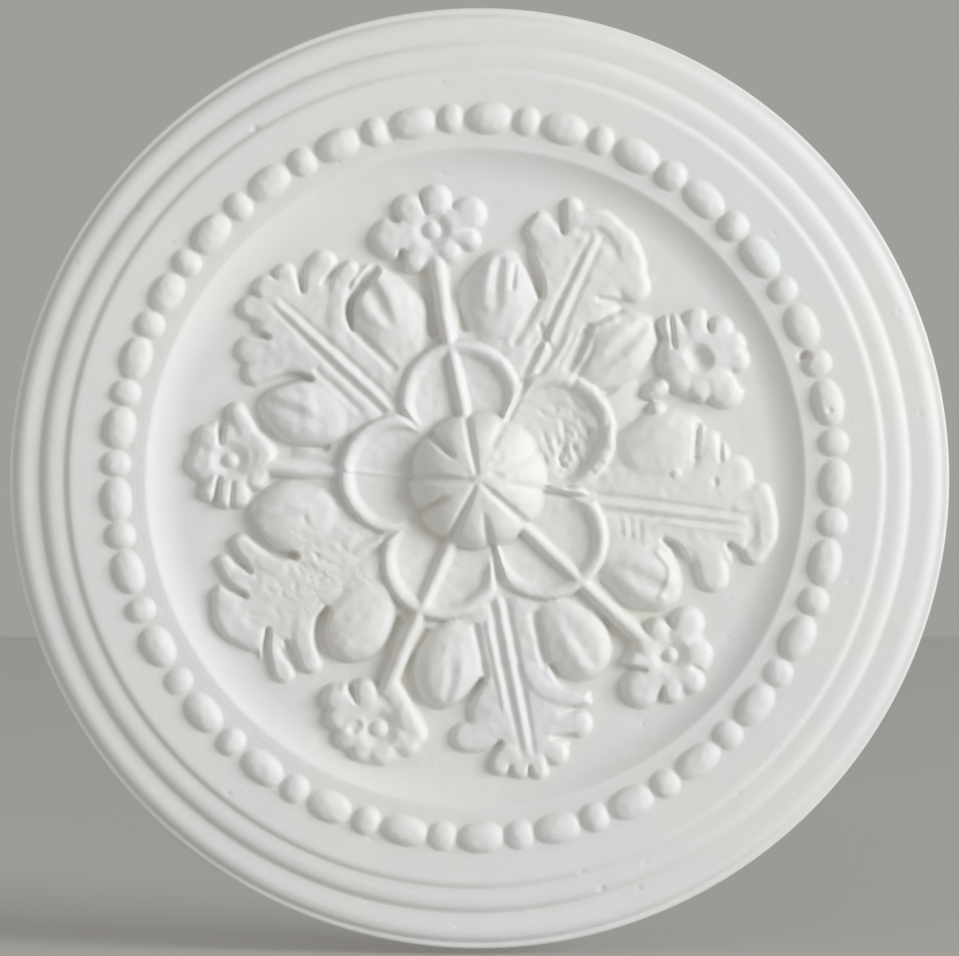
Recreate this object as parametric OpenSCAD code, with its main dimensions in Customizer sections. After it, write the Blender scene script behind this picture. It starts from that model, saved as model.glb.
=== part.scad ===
// Cast plaster ceiling rose: a moulded rim, a run of beads, and a rosette
// with five petals, five stemmed flowers and five acanthus leaves.
// The flat back lies in the plane y = 0 with the origin at its centre.
// The ornament faces -Y, and +Z is the upper edge.

/* [Rim] */
// Diameter over the outer edge
rose_d = 300; // [240:1:420]
// Thickness of the outermost narrow band
edge_h = 5; // [4:0.5:8]
// Rounding of the outer edge
edge_round = 1.2; // [0.4:0.1:2]
// Width of the outermost narrow band
edge_band_w = 2.2; // [1.6:0.1:5]
// Rise from the outermost band to the second band
outer_rise = 2.4; // [1.5:0.1:3]
// Width of the roll that makes that rise
outer_roll_w = 5.2; // [3:0.1:7]
// Width of the second band
second_band_w = 4; // [2:0.1:6]
// Rise from the second band to the third band
middle_rise = 2.2; // [1.5:0.1:3]
// Width of the roll that makes that rise
middle_roll_w = 5.5; // [3.5:0.1:9]
// Width of the third band
third_band_w = 3.3; // [1.5:0.1:5]
// Rise from the third band to the plain border
inner_rise = 1.1; // [0.6:0.1:2]
// Width of the roll that makes that rise
inner_roll_w = 2.2; // [1.4:0.1:4]
// Width of the plain border outside the beads
border_w = 8.1; // [5:0.1:16]

/* [Beads] */
// Number of long beads, with as many round beads between them
bead_pairs = 29; // [20:1:40]
// Width of a long bead, across the run
bead_w = 9.8; // [7:0.1:12]
// Share of the run that a long bead takes up, out of one pair
long_share = 0.62; // [0.55:0.01:0.68]
// Gap left between neighbouring beads
bead_gap = 0.35; // [0.2:0.05:0.8]
// Flat at each end of a long bead
bead_end_w = 4.4; // [2:0.1:6]
// Height of a long bead above the border it lies on
bead_up = 3.5; // [2.5:0.1:4.5]
// Direction of the first long bead, in degrees
bead_start = -1; // [-10:0.5:10]
// How far the beads crowd towards one side, in degrees
bead_drift = 2.3; // [0:0.1:3]

/* [Ground] */
// Thickness of the sunk ground behind the ornament
ground_t = 7; // [5:0.5:8]
// Width of the plain lip inside the beads
lip_w = 4.5; // [3:0.1:7]
// Width of the cove between the lip and the ground
cove_w = 11; // [8:0.5:16]

/* [Rosette] */
// How far the ornament is set below the middle of the rim
set_low = 2; // [0:0.5:4]
// Radius of the raised bed that the rosette lies on
bed_r = 59; // [50:0.5:66]
// Height of the bed above the ground
bed_h = 2.4; // [1:0.1:3]
// Direction of the first flower, in degrees
first_flower = 29; // [0:1:71]
// Radius of the boss
boss_r = 22; // [18:0.5:24]
// Height of the boss above the ground
boss_h = 16; // [12:0.5:20]
// Depth of the grooves of the boss at its foot
boss_groove = 1.8; // [0.5:0.1:2.5]
// Radius of the knob on the boss
knob_r = 2.6; // [1.5:0.1:4]
// Radius of a petal
petal_r = 19.5; // [17:0.5:21]
// Distance of a petal's centre from the middle
petal_at = 26; // [24:0.5:28]
// Width of the rolled edge of a petal
petal_edge_w = 4.4; // [3:0.1:5.5]
// Height of the rolled edge above the ground
petal_h = 6.4; // [5:0.1:8]
// How far a rolled edge runs past the notch where two petals meet, in degrees
petal_lap = 6; // [3:0.5:9]
// Height of a petal's hollow above the ground
hollow_h = 3.2; // [2:0.1:4]
// Width of a stem
stem_w = 4.4; // [3:0.1:6]
// Height of a stem's crest above the ground
stem_h = 7.2; // [6.5:0.1:10]

/* [Flowers] */
// Distance of a flower from the middle
flower_at = 80; // [74:0.5:84]
// Radius over the lobes
flower_r = 15.6; // [13:0.1:17]
// Height of a flower above the ground
flower_h = 7; // [6:0.1:10]
// Radius of one lobe
lobe_r = 6.1; // [5.2:0.1:6.6]
// How far the button stands above the lobes
button_up = 0.8; // [0:0.1:2]
// Radius of the button in the middle
button_r = 3.6; // [2.5:0.1:4.5]

/* [Leaves] */
// Distance of a leaf's root from the middle
leaf_root = 29; // [26:0.5:31]
// Distance of a leaf's tip from the middle
leaf_tip = 95; // [88:0.5:97]
// Greatest half width of a leaf, over its lower fingers
leaf_half_w = 22; // [17:0.5:23]
// Half width of a leaf below its fingers
leaf_neck_w = 13; // [9:0.5:14]
// Height of a leaf above the ground at its middle
leaf_h = 4.8; // [4:0.1:7]
// Depth of the notches between the fingers of a leaf
notch = 6; // [3:0.5:9]
// How far the fingers lean forwards, as a share of their reach
finger_lean = 0.25; // [0.1:0.05:0.4]
// Height of the two ribs beside the middle line
rib_h = 0.8; // [0.5:0.1:2]
// Height of the flutes across the fingers of a leaf
flute_h = 0.4; // [0.2:0.1:0.8]
// Distance of a turned-over side lobe from the middle
side_lobe_at = 61; // [58:0.5:64]
// Angle between a side lobe and its stem, in degrees
side_lobe_turn = 16; // [14:0.5:18]
// Length of a side lobe
side_lobe_l = 24; // [18:0.5:28]
// Width of a side lobe
side_lobe_w = 19; // [13:0.5:21]
// Width of a side lobe's blunt ends
side_lobe_end_w = 9; // [5:0.5:12]
// Height of a side lobe above the ground
side_lobe_h = 6.2; // [5:0.1:8.5]

/* [Hidden] */
$fn = 96;
plaster = "white";

arms = 5;
arm_turn = 360 / arms;
lobes_of = [6, 6, 8, 7, 6];    // lobes of each flower, going round
bare_petals = [0, 2];          // the petals with no stem over them
function is_bare(k) = len([for (b = bare_petals) if (b == k) b]) > 0;

// Fingers of a leaf: where each starts and ends along its length, and its reach
// as a share of the greatest half width. The last one is the tip.
leaf_fingers = [[0.5, 0.66, 1], [0.66, 0.81, 0.9], [0.81, 1, 0.62]];
leaf_full = 0.3;    // where along its length the neck of a leaf is at full width

// Radii and heights of the rim, from the outer edge inwards.
rim_r = rose_d / 2;
outer_foot = rim_r - edge_band_w;
outer_top = outer_foot - outer_roll_w;
middle_foot = outer_top - second_band_w;
middle_top = middle_foot - middle_roll_w;
inner_foot = middle_top - third_band_w;
inner_top = inner_foot - inner_roll_w;
second_h = edge_h + outer_rise;
third_h = second_h + middle_rise;
border_h = third_h + inner_rise;

// The run of beads and what lies inside it.
bead_at = inner_top - border_w - bead_w / 2;
bead_z = border_h + bead_up - bead_w / 2;
cove_out = bead_at - bead_w / 2 - lip_w;
ground_r = cove_out - cove_w;
cove_h = border_h - ground_t;

// Where a stem starts: inside the boss, or under the edge of a bare petal. It
// ends a little short of the button.
stem_root = boss_r * 0.7;
bare_stem_root = petal_at + petal_r - petal_edge_w;
stem_end = flower_at - button_r - 0.9;

// How deep each kind of ornament is let into the ground, all different so that
// no two undersides share a plane.
stem_sunk = 1;
petal_sunk = 1.5;
flower_sunk = 2;
bed_sunk = 2.8;
leaf_sunk = 3.2;
boss_sunk = 3.8;

// The turn from a petal's middle line to the notch where it meets the next one.
notch_turn = 180 - acos((petal_at * petal_at + petal_r * petal_r - pow(notch_at(), 2))
    / (2 * petal_at * petal_r));
petal_edge_turn = notch_turn + petal_lap;

// Distance from the middle to the notch between two petals.
function notch_at() = petal_at * cos(arm_turn / 2)
    + sqrt(petal_r * petal_r - pow(petal_at * sin(arm_turn / 2), 2));

// A circle that is level at [x, top] and passes through [x + w, top - h].
module roll(x, top, w, h) {
    r = (w * w + h * h) / (2 * h);
    intersection() {
        translate([x, top - r]) circle(r, $fn = 180);
        translate([x - 0.01, top - h]) square([w + 0.01, h]);
    }
}

// Half section of the rim and ground, turned about the middle.
module rim_section() {
    difference() {
        union() {
            square([rim_r - edge_round, edge_h]);
            square([rim_r, edge_h - edge_round]);
            translate([rim_r - edge_round, edge_h - edge_round]) circle(edge_round);
            square([outer_top, second_h]);
            roll(outer_top, second_h, outer_roll_w, outer_rise);
            square([middle_top, third_h]);
            roll(middle_top, third_h, middle_roll_w, middle_rise);
            square([inner_top, border_h]);
            roll(inner_top, border_h, inner_roll_w, inner_rise);
        }
        translate([-1, ground_t]) square([1 + ground_r, border_h]);
        cove();
    }
}

// The hollow between the lip and the ground, level where it meets the ground.
module cove() {
    r = (cove_w * cove_w + cove_h * cove_h) / (2 * cove_h);
    intersection() {
        translate([ground_r, ground_t + r]) circle(r, $fn = 180);
        translate([ground_r - 0.01, ground_t]) square([cove_w + 0.01, cove_h + 0.01]);
    }
}

module rim() {
    rotate_extrude($fn = 180) rim_section();
}

// A barrel lying along X: an arc turned about its length, flat at both ends.
// A turn of 180 leaves the half on its +Y side.
module barrel(length, width, end_w, turn = 360) {
    rise = (width - end_w) / 2;
    half = length / 2;
    r = (half * half + rise * rise) / (2 * rise);
    rotate([0, 90, 0])
        rotate_extrude(angle = turn)
            intersection() {
                translate([width / 2 - r, 0]) circle(r, $fn = 180);
                translate([0, -half]) square([width / 2, length]);
            }
}

// The beads crowd a little to one side of the ring.
function drifted(turn) = turn + bead_drift * sin(turn - 8);
function crowding(turn) = 1 + bead_drift * PI / 180 * cos(turn - 8);

module bead_run() {
    pitch = 360 / bead_pairs;
    run = 2 * PI * bead_at / bead_pairs;
    for (i = [0 : bead_pairs - 1]) {
        long_turn = bead_start + i * pitch;
        round_turn = long_turn + pitch / 2;
        long_l = (run * long_share - bead_gap) * crowding(long_turn);
        round_l = (run * (1 - long_share) - bead_gap) * crowding(round_turn);
        rotate(drifted(long_turn)) translate([bead_at, 0, bead_z])
            rotate(90) barrel(long_l, bead_w, bead_end_w);
        rotate(drifted(round_turn)) translate([bead_at, 0, bead_z])
            sphere(round_l / 2);
    }
}

// A solid with a carved top: top(t, s) gives its points, with t from root to
// tip at the rows given and s from side to side. Both ends come to a point.
module carved(top, rows, cols, floor_z) {
    row_n = cols + 3;
    points = concat(
        [top(0, 0), flat(top(0, 0), floor_z), top(1, 0), flat(top(1, 0), floor_z)],
        [for (t = rows) each concat(
            [for (j = [0 : cols]) top(t, 2 * j / cols - 1)],
            [flat(top(t, -1), floor_z), flat(top(t, 1), floor_z)])]);
    function at(i, j) = 4 + i * row_n + j;
    last = len(rows) - 1;
    left = cols + 1;
    right = cols + 2;
    top_faces = [for (i = [0 : last - 1]) for (j = [0 : cols - 1]) each [
        [at(i, j), at(i + 1, j + 1), at(i + 1, j)],
        [at(i, j), at(i, j + 1), at(i + 1, j + 1)]]];
    side_faces = [for (i = [0 : last - 1]) each [
        [at(i, 0), at(i + 1, left), at(i, left)],
        [at(i, 0), at(i + 1, 0), at(i + 1, left)],
        [at(i, cols), at(i, right), at(i + 1, right)],
        [at(i, cols), at(i + 1, right), at(i + 1, cols)],
        [at(i, left), at(i + 1, right), at(i, right)],
        [at(i, left), at(i + 1, left), at(i + 1, right)]]];
    root_faces = concat(
        [for (j = [0 : cols - 1]) [0, at(0, j + 1), at(0, j)]],
        [[0, at(0, left), 1], [0, at(0, 0), at(0, left)],
         [0, 1, at(0, right)], [0, at(0, right), at(0, cols)],
         [1, at(0, left), at(0, right)]]);
    tip_faces = concat(
        [for (j = [0 : cols - 1]) [2, at(last, j), at(last, j + 1)]],
        [[2, at(last, left), at(last, 0)], [2, 3, at(last, left)],
         [2, at(last, right), 3], [2, at(last, cols), at(last, right)],
         [3, at(last, right), at(last, left)]]);
    polyhedron(points, concat(top_faces, side_faces, root_faces, tip_faces));
}

function flat(p, z) = [p.x, p.y, z];

// Half width of a leaf: a neck, then two fingers and half of the tip, each a
// round stretch of the edge that falls back into a notch.
function leaf_half(t) =
    t < leaf_fingers[0][0]
        ? leaf_neck_w * pow(sin(90 * min(1, t / leaf_full)), 0.7)
        : max([for (f = leaf_fingers) if (t >= f[0] && t <= f[1]) finger_half(f, t)]);

function finger_half(f, t) =
    let (reach = leaf_half_w * f[2], u = (t - f[0]) / (f[1] - f[0]))
    f[1] == 1 ? reach * pow(1 - u * u, 0.5) : reach - notch * pow(abs(cos(180 * u)), 3);

// Height of a leaf: two ribs beside the middle line, with fluted fingers outside.
function leaf_top(t, s) =
    let (crown = leaf_h * (0.85 + 0.15 * sin(180 * t)) * (1 - 0.12 * s * s),
         ribs = rib_h * (1 - t) * exp(-pow((abs(s) - 0.2) / 0.12, 2)),
         flutes = flute_h * cos(720 * s))
    ground_t + crown + ribs + flutes;

// Stations along a leaf: even up to its fingers, four to each finger, and one
// close to the tip.
leaf_rows = concat(
    [for (i = [1 : 3]) leaf_fingers[0][0] * i / 4],
    [for (f = leaf_fingers) each [for (i = [0 : 3]) f[0] + (f[1] - f[0]) * i / 4]],
    [0.98]);

module leaf() {
    carved(
        function (t, s) [
            leaf_root + (leaf_tip - leaf_root) * t + finger_lean * abs(s) * leaf_half(t),
            s * leaf_half(t),
            leaf_top(t, s)],
        leaf_rows, 6, ground_t - leaf_sunk);
}

// A turned-over lobe at the foot of a leaf, lying along the stem.
module side_lobe() {
    translate([0, 0, ground_t + side_lobe_h - side_lobe_w / 2])
        rotate([90, 0, 0]) barrel(side_lobe_l, side_lobe_w, side_lobe_end_w, 180);
}

// Five petals in a ring: hollow discs, each with a rolled edge round its outer side.
module petals() {
    roll_r = petal_edge_w / 2;
    for (k = [0 : arms - 1])
        rotate(first_flower + k * arm_turn)
            translate([petal_at, 0, ground_t - petal_sunk]) {
                cylinder(h = petal_sunk + hollow_h, r = petal_r - roll_r);
                rotate(-petal_edge_turn) rotate_extrude(angle = 2 * petal_edge_turn) {
                    translate([petal_r - petal_edge_w, 0])
                        square([petal_edge_w, petal_sunk + petal_h - roll_r]);
                    translate([petal_r - roll_r, petal_sunk + petal_h - roll_r])
                        circle(roll_r, $fn = 48);
                }
            }
}

// The boss: a gadrooned dome, with a groove towards each stem and each leaf.
module boss() {
    rings = 6;
    around = 6 * arms;
    function dome(u) = boss_h * pow(1 - u * u, 0.5);
    function groove(a) = boss_groove * pow(abs(cos((a - first_flower) * arms)), 3);
    function at(i, j) = 2 + i * around + j % around;
    points = concat(
        [[0, 0, ground_t + boss_h], [0, 0, ground_t - boss_sunk]],
        [for (i = [1 : rings]) for (j = [0 : around - 1])
            let (u = sin(90 * i / rings), a = 360 * j / around + first_flower)
            [boss_r * u * cos(a), boss_r * u * sin(a),
             i == rings ? ground_t - boss_sunk : ground_t + dome(u) - groove(a) * u]]);
    polyhedron(points, concat(
        [for (j = [0 : around - 1]) [0, at(0, j + 1), at(0, j)]],
        [for (i = [0 : rings - 2]) for (j = [0 : around - 1]) each [
            [at(i, j), at(i, j + 1), at(i + 1, j + 1)],
            [at(i, j), at(i + 1, j + 1), at(i + 1, j)]]],
        [for (j = [0 : around - 1]) [1, at(rings - 1, j), at(rings - 1, j + 1)]]));
    translate([0, 0, ground_t + boss_h - knob_r / 2]) sphere(knob_r);
}

// A stem with a round crest, standing on the ground. It runs over its petal from
// inside the boss, or starts at the rim of a bare petal.
module stem(start) {
    web_h = stem_h - stem_w / 2 + stem_sunk;
    translate([start, 0, ground_t + stem_h - stem_w / 2])
        rotate([90, 0, 90]) linear_extrude(stem_end - start) {
            circle(d = stem_w);
            translate([-stem_w / 2, -web_h]) square([stem_w, web_h]);
        }
}

// A flower: puffed lobes round a button, on a disc that reaches under the lobes.
module flower(lobes) {
    ring = flower_r - lobe_r;
    disc_h = flower_h - button_r;
    translate([0, 0, ground_t - flower_sunk])
        cylinder(h = flower_sunk + disc_h, r = ring + button_r / 2);
    for (i = [0 : lobes - 1])
        rotate(180 / lobes + i * 360 / lobes)
            translate([ring, 0, ground_t + flower_h - button_up - lobe_r]) sphere(lobe_r);
    translate([0, 0, ground_t + flower_h - button_r]) sphere(button_r);
}

module ornament() {
    translate([0, -set_low, 0]) {
        translate([0, 0, ground_t - bed_sunk]) cylinder(h = bed_sunk + bed_h, r = bed_r, $fn = 180);
        boss();
        petals();
        for (k = [0 : arms - 1]) {
            flower_turn = first_flower + k * arm_turn;
            rotate(flower_turn) stem(is_bare(k) ? bare_stem_root : stem_root);
            rotate(flower_turn) translate([flower_at, 0, 0]) flower(lobes_of[k]);
            rotate(flower_turn + arm_turn / 2) leaf();
            for (side = [-1, 1])
                rotate(flower_turn + side * side_lobe_turn)
                    translate([side_lobe_at, 0, 0]) side_lobe();
        }
    }
}

module rose_casting() {
    color(plaster)
        rotate([90, 0, 0]) {
            rim();
            bead_run();
            ornament();
        }
}

rose_casting();
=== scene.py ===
"""The looks of a cast plaster ceiling rose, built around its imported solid.

The rose hangs by its flat back: the ornament faces -Y and +Z is its upper edge.
Heights and widths of the relief are in millimetres, everything placed in the
scene is in metres.
"""
import math
import bpy
import numpy as np
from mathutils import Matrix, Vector


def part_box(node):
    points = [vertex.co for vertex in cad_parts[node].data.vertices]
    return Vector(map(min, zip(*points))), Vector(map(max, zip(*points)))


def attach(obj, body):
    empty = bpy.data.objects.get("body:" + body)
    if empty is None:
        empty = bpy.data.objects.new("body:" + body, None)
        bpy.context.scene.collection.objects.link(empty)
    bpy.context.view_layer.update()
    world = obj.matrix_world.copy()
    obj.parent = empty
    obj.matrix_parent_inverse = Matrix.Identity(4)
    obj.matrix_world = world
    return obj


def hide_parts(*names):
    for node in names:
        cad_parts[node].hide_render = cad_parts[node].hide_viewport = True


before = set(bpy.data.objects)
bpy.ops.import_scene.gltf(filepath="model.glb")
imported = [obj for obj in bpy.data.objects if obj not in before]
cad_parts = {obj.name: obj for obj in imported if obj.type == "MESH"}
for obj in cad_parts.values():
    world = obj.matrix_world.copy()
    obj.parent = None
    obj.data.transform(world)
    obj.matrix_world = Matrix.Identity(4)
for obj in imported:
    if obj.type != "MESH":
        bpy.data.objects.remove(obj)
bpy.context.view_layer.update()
rose_low, rose_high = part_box("rose_casting")


# The camera faces the rose squarely, as someone would lying under the ceiling.
# It stands well back, so that the relief shows no more of its sides on one
# flank than on the other.
camera_away = 1.5               # from the back of the rose
rim_stands = 0.005              # how far the edge of the rim stands off that back
rose_fills = 0.98227            # the share of the frame's width that the rose takes up
view_w = (rose_high[0] - rose_low[0]) / rose_fills
lens = bpy.data.cameras.new("front_view")
lens.sensor_width = 36.0
lens.lens = lens.sensor_width * (camera_away - rim_stands) / view_w
camera = bpy.data.objects.new("front_view", lens)
camera.location = (0.0002, -camera_away, 0.0001)            # a hair off the middle
camera.rotation_euler = (math.radians(90), 0, 0)
bpy.context.scene.collection.objects.link(camera)
bpy.context.scene.camera = camera


# The setting is a pale matt floor just under the rose. One broad soft lamp
# rakes across from the right and a little above; a weak one in front and the
# pale surroundings fill the shadows.
def linear(hex_colour):
    """A linear colour with alpha from an sRGB hex value such as "f2efe9"."""
    shares = [int(hex_colour[i:i + 2], 16) / 255 for i in (0, 2, 4)]
    return [s / 12.92 if s <= 0.04045 else ((s + 0.055) / 1.055) ** 2.4 for s in shares] + [1.0]


def soft_lamp(name, place, size, power, colour):
    """A square lamp at a place, turned to shine at the middle of the rose."""
    light = bpy.data.lights.new(name, "AREA")
    light.shape = "SQUARE"
    light.size = size
    light.energy = power
    light.color = linear(colour)[:3]
    lamp = bpy.data.objects.new(name, light)
    lamp.location = place
    lamp.rotation_euler = (-Vector(place)).to_track_quat("-Z", "Y").to_euler()
    bpy.context.scene.collection.objects.link(lamp)


soft_lamp("window", place=(9.2, -5.7, 2.0), size=5.2, power=890, colour="f7fcff")
soft_lamp("front_fill", place=(-0.5, -2.6, 0.7), size=1.6, power=7, colour="ffffff")

surroundings = bpy.data.worlds.new("pale_room")
surroundings.use_nodes = True
background = surroundings.node_tree.nodes["Background"]
background.inputs["Color"].default_value = linear("f1eee8")
background.inputs["Strength"].default_value = 0.40
bpy.context.scene.world = surroundings
bpy.context.scene.view_settings.view_transform = "Standard"

floor_half = 3.0
floor_z = rose_low[2] - 0.002   # a hair under the rose
floor_corners = [(-floor_half, -floor_half, floor_z), (floor_half, -floor_half, floor_z),
                 (floor_half, floor_half, floor_z), (-floor_half, floor_half, floor_z)]
floor_mesh = bpy.data.meshes.new("floor")
floor_mesh.from_pydata(floor_corners, [], [(0, 1, 2, 3)])
floor = bpy.data.objects.new("floor", floor_mesh)
bpy.context.scene.collection.objects.link(floor)
floor_paint = bpy.data.materials.new("matt_floor_paint")
floor_paint.use_nodes = True
floor_shader = floor_paint.node_tree.nodes["Principled BSDF"]
floor_shader.inputs["Base Color"].default_value = linear("d6d5d2")
floor_shader.inputs["Roughness"].default_value = 0.9
floor_mesh.materials.append(floor_paint)


# The rim and the sunk ground are one turned moulding: three bands that step up
# inwards over soft rolls, a plain border that runs on under the beads, and a
# wide cove down to the ground. The relief is kept as a sheet of heights.
rim_r = (rose_high[0] - rose_low[0]) / 2 * 1000 - 0.03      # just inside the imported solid
edge_h = 4.3
border_h = 10.7
ground_t = 7.0
bead_at = rim_r - 35.8          # the middle of the run of beads
cove_out = bead_at - 9.6        # where the border ends and the cove starts
cove_w = 11.0

step = 0.4                      # spacing of the sheet
half = 152.0
axis = np.arange(-half, half + step / 2, step)
across, up = np.meshgrid(axis, axis)
# the outermost roll and the rings inside it were each run a little off the middle
edge_x = -0.4
ring_x, ring_y = -1.1, 0.2
from_edge = np.hypot(across - edge_x, up)
from_ring = np.hypot(across - ring_x, up - ring_y)
bands = [                       # foot and top of each roll, inwards, with its rise
    (from_edge, rim_r - 2.4, rim_r - 6.7, 2.7),
    (from_ring, rim_r - 12.0, rim_r - 16.4, 2.4),
    (from_ring, rim_r - 19.9, rim_r - 22.2, 1.3),
]


def roll_height(away, foot, top, rise):
    """Height gained over a roll that is level at its top and steepest at its foot."""
    return rise * np.sqrt(1 - np.clip((away - top) / (foot - top), 0, 1) ** 2)


sheet = np.full_like(across, edge_h)
for away, foot, top, rise in bands:
    sheet += np.where(away < foot, roll_height(away, foot, top, rise), 0)
cove_h = border_h - ground_t
cove_bend = (cove_w ** 2 + cove_h ** 2) / (2 * cove_h)
up_cove = np.clip(from_ring - cove_out + cove_w, 0, cove_w)
cove = ground_t + cove_bend - np.sqrt(cove_bend ** 2 - up_cove ** 2)
sheet = np.where(from_ring < cove_out, cove, sheet)


def soften(heights, blur):
    """The heights blurred by a bell curve of that many millimetres."""
    waves_y = np.fft.fftfreq(heights.shape[0], step)[:, None]
    waves_x = np.fft.rfftfreq(heights.shape[1], step)[None, :]
    keep = np.exp(-2 * (math.pi * blur) ** 2 * (waves_x ** 2 + waves_y ** 2))
    return np.fft.irfft2(np.fft.rfft2(heights) * keep, s=heights.shape)


rim_wear = 0.25                 # how far the arrises of the rim are softened
sheet = soften(sheet, rim_wear)


# The beads lie on the border: 29 long ones with a round one after each. They
# were pressed by hand, so each differs a little in size, lean and height.
def smooth_top(one, other, fillet):
    """The higher of two surfaces, with a small fillet where they meet."""
    near = np.clip(1 - np.abs(one - other) / fillet, 0, 1)
    return np.maximum(one, other) + near * near * fillet / 4


def window(xs, ys, reach):
    """The part of the sheet within reach of some places."""
    first_col = int((np.min(xs) - reach + half) / step)
    last_col = int((np.max(xs) + reach + half) / step) + 2
    first_row = int((np.min(ys) - reach + half) / step)
    last_row = int((np.max(ys) + reach + half) / step) + 2
    return slice(max(first_row, 0), last_row), slice(max(first_col, 0), last_col)


deep = -40.0                    # a height that is never seen
bead_pairs = 29
bead_top = 13.7
long_bead = 7.55                # half length
round_bead = 4.4
bead_half_w = 4.95
bead_foot = border_h - 1.0
laid_fillet = 0.5               # where a bead, and later a stem or a flower, meets its ground
first_bead = -1                 # its turn
widest_at = 8                   # the turn where the beads lie furthest apart
slip_at = (-5, 60, 100, 140, 195, 235, 260, 360)
slips = (0.5, 0.5, -0.7, 0, -2.2, 0.5, 1.1, 0.5)
hand = np.random.default_rng(29)


def drifted(turn):
    """The beads were set out by eye, so they crowd together in places."""
    drift = 2.3 * math.sin(math.radians(turn - widest_at))
    return turn + drift + np.interp(turn, slip_at, slips)


def bead(turn, half_l, half_w, top, lean):
    """A rounded bead lying along the run at a turn of the ring."""
    a = math.radians(turn)
    x = ring_x + bead_at * math.cos(a)
    y = ring_y + bead_at * math.sin(a)
    part = window(x, y, half_l + 1)
    a += math.radians(lean)
    out = (across[part] - x) * math.cos(a) + (up[part] - y) * math.sin(a)
    along_run = -(across[part] - x) * math.sin(a) + (up[part] - y) * math.cos(a)
    # a power a little over 2 makes the bead fuller than an ellipse
    near = (np.abs(out / half_w) ** 2.2 + np.abs(along_run / half_l) ** 2.2) ** (1 / 2.2)
    crown = np.sqrt(np.clip(1 - near ** 2.1, 0, 1))
    height = np.where(crown > 0, bead_foot + (top - bead_foot) * crown, deep)
    sheet[part] = smooth_top(sheet[part], height, laid_fillet)


for i in range(bead_pairs):
    turn = first_bead + i * 360 / bead_pairs
    size, rise, lean = hand.normal(0, 0.02), hand.normal(0, 0.18), hand.normal(0, 2.0)
    spread = 1 + 0.04 * math.cos(math.radians(turn - widest_at))
    long_half = long_bead * spread * (1 + size)
    bead(drifted(turn), long_half, bead_half_w * (1 - size), bead_top + rise, lean)
    turn += 180 / bead_pairs
    size, rise, lean = hand.normal(0, 0.035), hand.normal(0, 0.2), hand.normal(0, 4.0)
    slim = 0.9 if 60 < turn < 110 else 1.0      # the round beads near the top are thinner
    round_half = round_bead * spread * slim * (1 + size)
    bead(drifted(turn), round_half, bead_half_w * 0.97, bead_top - 0.5 + rise, lean)


# Five hollow petals lie round the boss, each with a rolled edge. Their edges
# meet in a notch in front of each leaf, and run from there down to the boss.
arms = 5
first_flower = 29               # its turn
ornament_mid = (-0.2, -2.0)     # the ornament sits a little below the middle
from_mid = np.hypot(across - ornament_mid[0], up - ornament_mid[1])
around = np.degrees(np.arctan2(up - ornament_mid[1], across - ornament_mid[0]))


def blank():
    """A layer with nothing on it yet."""
    return np.full_like(sheet, deep)


def placed(turn, out, aside, middle=ornament_mid):
    """The sheet place of a point, given outwards and clockwise from an arm's line."""
    a = math.radians(turn)
    x = middle[0] + out * math.cos(a) + aside * math.sin(a)
    y = middle[1] + out * math.sin(a) - aside * math.cos(a)
    return x, y


def along(points):
    """Places a step apart on a smooth line through (out, aside, half width, height)."""
    p = np.array(points, float)
    p = np.vstack([2 * p[0] - p[1], p, 2 * p[-1] - p[-2]])
    places = []
    for before, start, end, after in zip(p, p[1:], p[2:], p[3:]):
        count = max(2, int(math.hypot(*(end - start)[:2]) / step))
        t = np.linspace(0, 1, count, endpoint=False)[:, None]
        places.append(0.5 * (2 * start + (end - before) * t
                             + (2 * before - 5 * start + 4 * end - after) * t ** 2
                             + (3 * start - before - 3 * end + after) * t ** 3))
    return np.vstack(places + [p[-2:-1]])


# the ornament is domed: it stands highest over the side lobes and falls to the tips
dome_at = (30, 44, 60, 74, 95)
dome_share = (0.68, 0.71, 0.78, 0.60, 0.42)
dome = soften(np.interp(from_mid, dome_at, dome_share), 5)


def swell(layer, turn, *points, edge=4.6, fillet=0.9):
    """Lay a rounded swelling along a line; edge sets how square its shoulders are."""
    line = along(points)
    xs, ys = placed(turn, line[:, 0], line[:, 1])
    part = window(xs, ys, line[:, 2].max())
    foot = ground_t - 1.0
    height = np.full(across[part].shape, deep)
    for x, y, wide, top in zip(xs, ys, line[:, 2], line[:, 3]):
        away = ((across[part] - x) ** 2 + (up[part] - y) ** 2) / wide ** 2
        crown = np.clip(1 - away ** (edge / 2), 0, 1) ** 0.62
        raised = foot + (ground_t + top * dome[part] - foot) * crown
        height = np.maximum(height, np.where(crown > 0, raised, deep))
    layer[part] = smooth_top(layer[part], height, fillet)


def score(layer, turn, *points, middle=ornament_mid):
    """Press a groove along a line, or raise a ridge if its heights are above nought."""
    line = along(points)
    xs, ys = placed(turn, line[:, 0], line[:, 1], middle)
    part = window(xs, ys, line[:, 2].max())
    change = np.zeros(across[part].shape)
    sign = 1 if line[:, 3].sum() > 0 else -1
    for x, y, wide, height in zip(xs, ys, line[:, 2], np.abs(line[:, 3])):
        away = ((across[part] - x) ** 2 + (up[part] - y) ** 2) / wide ** 2
        change = np.maximum(change, height * np.clip(1 - away, 0, 1) ** 1.5)
    layer[part] += sign * change


bed = blank()                   # the clay that the leaves and petals were laid on
swell(bed, 0, (-0.1, 0, 60, 3.4), (0.1, 0, 60, 3.4), edge=14)
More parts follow.
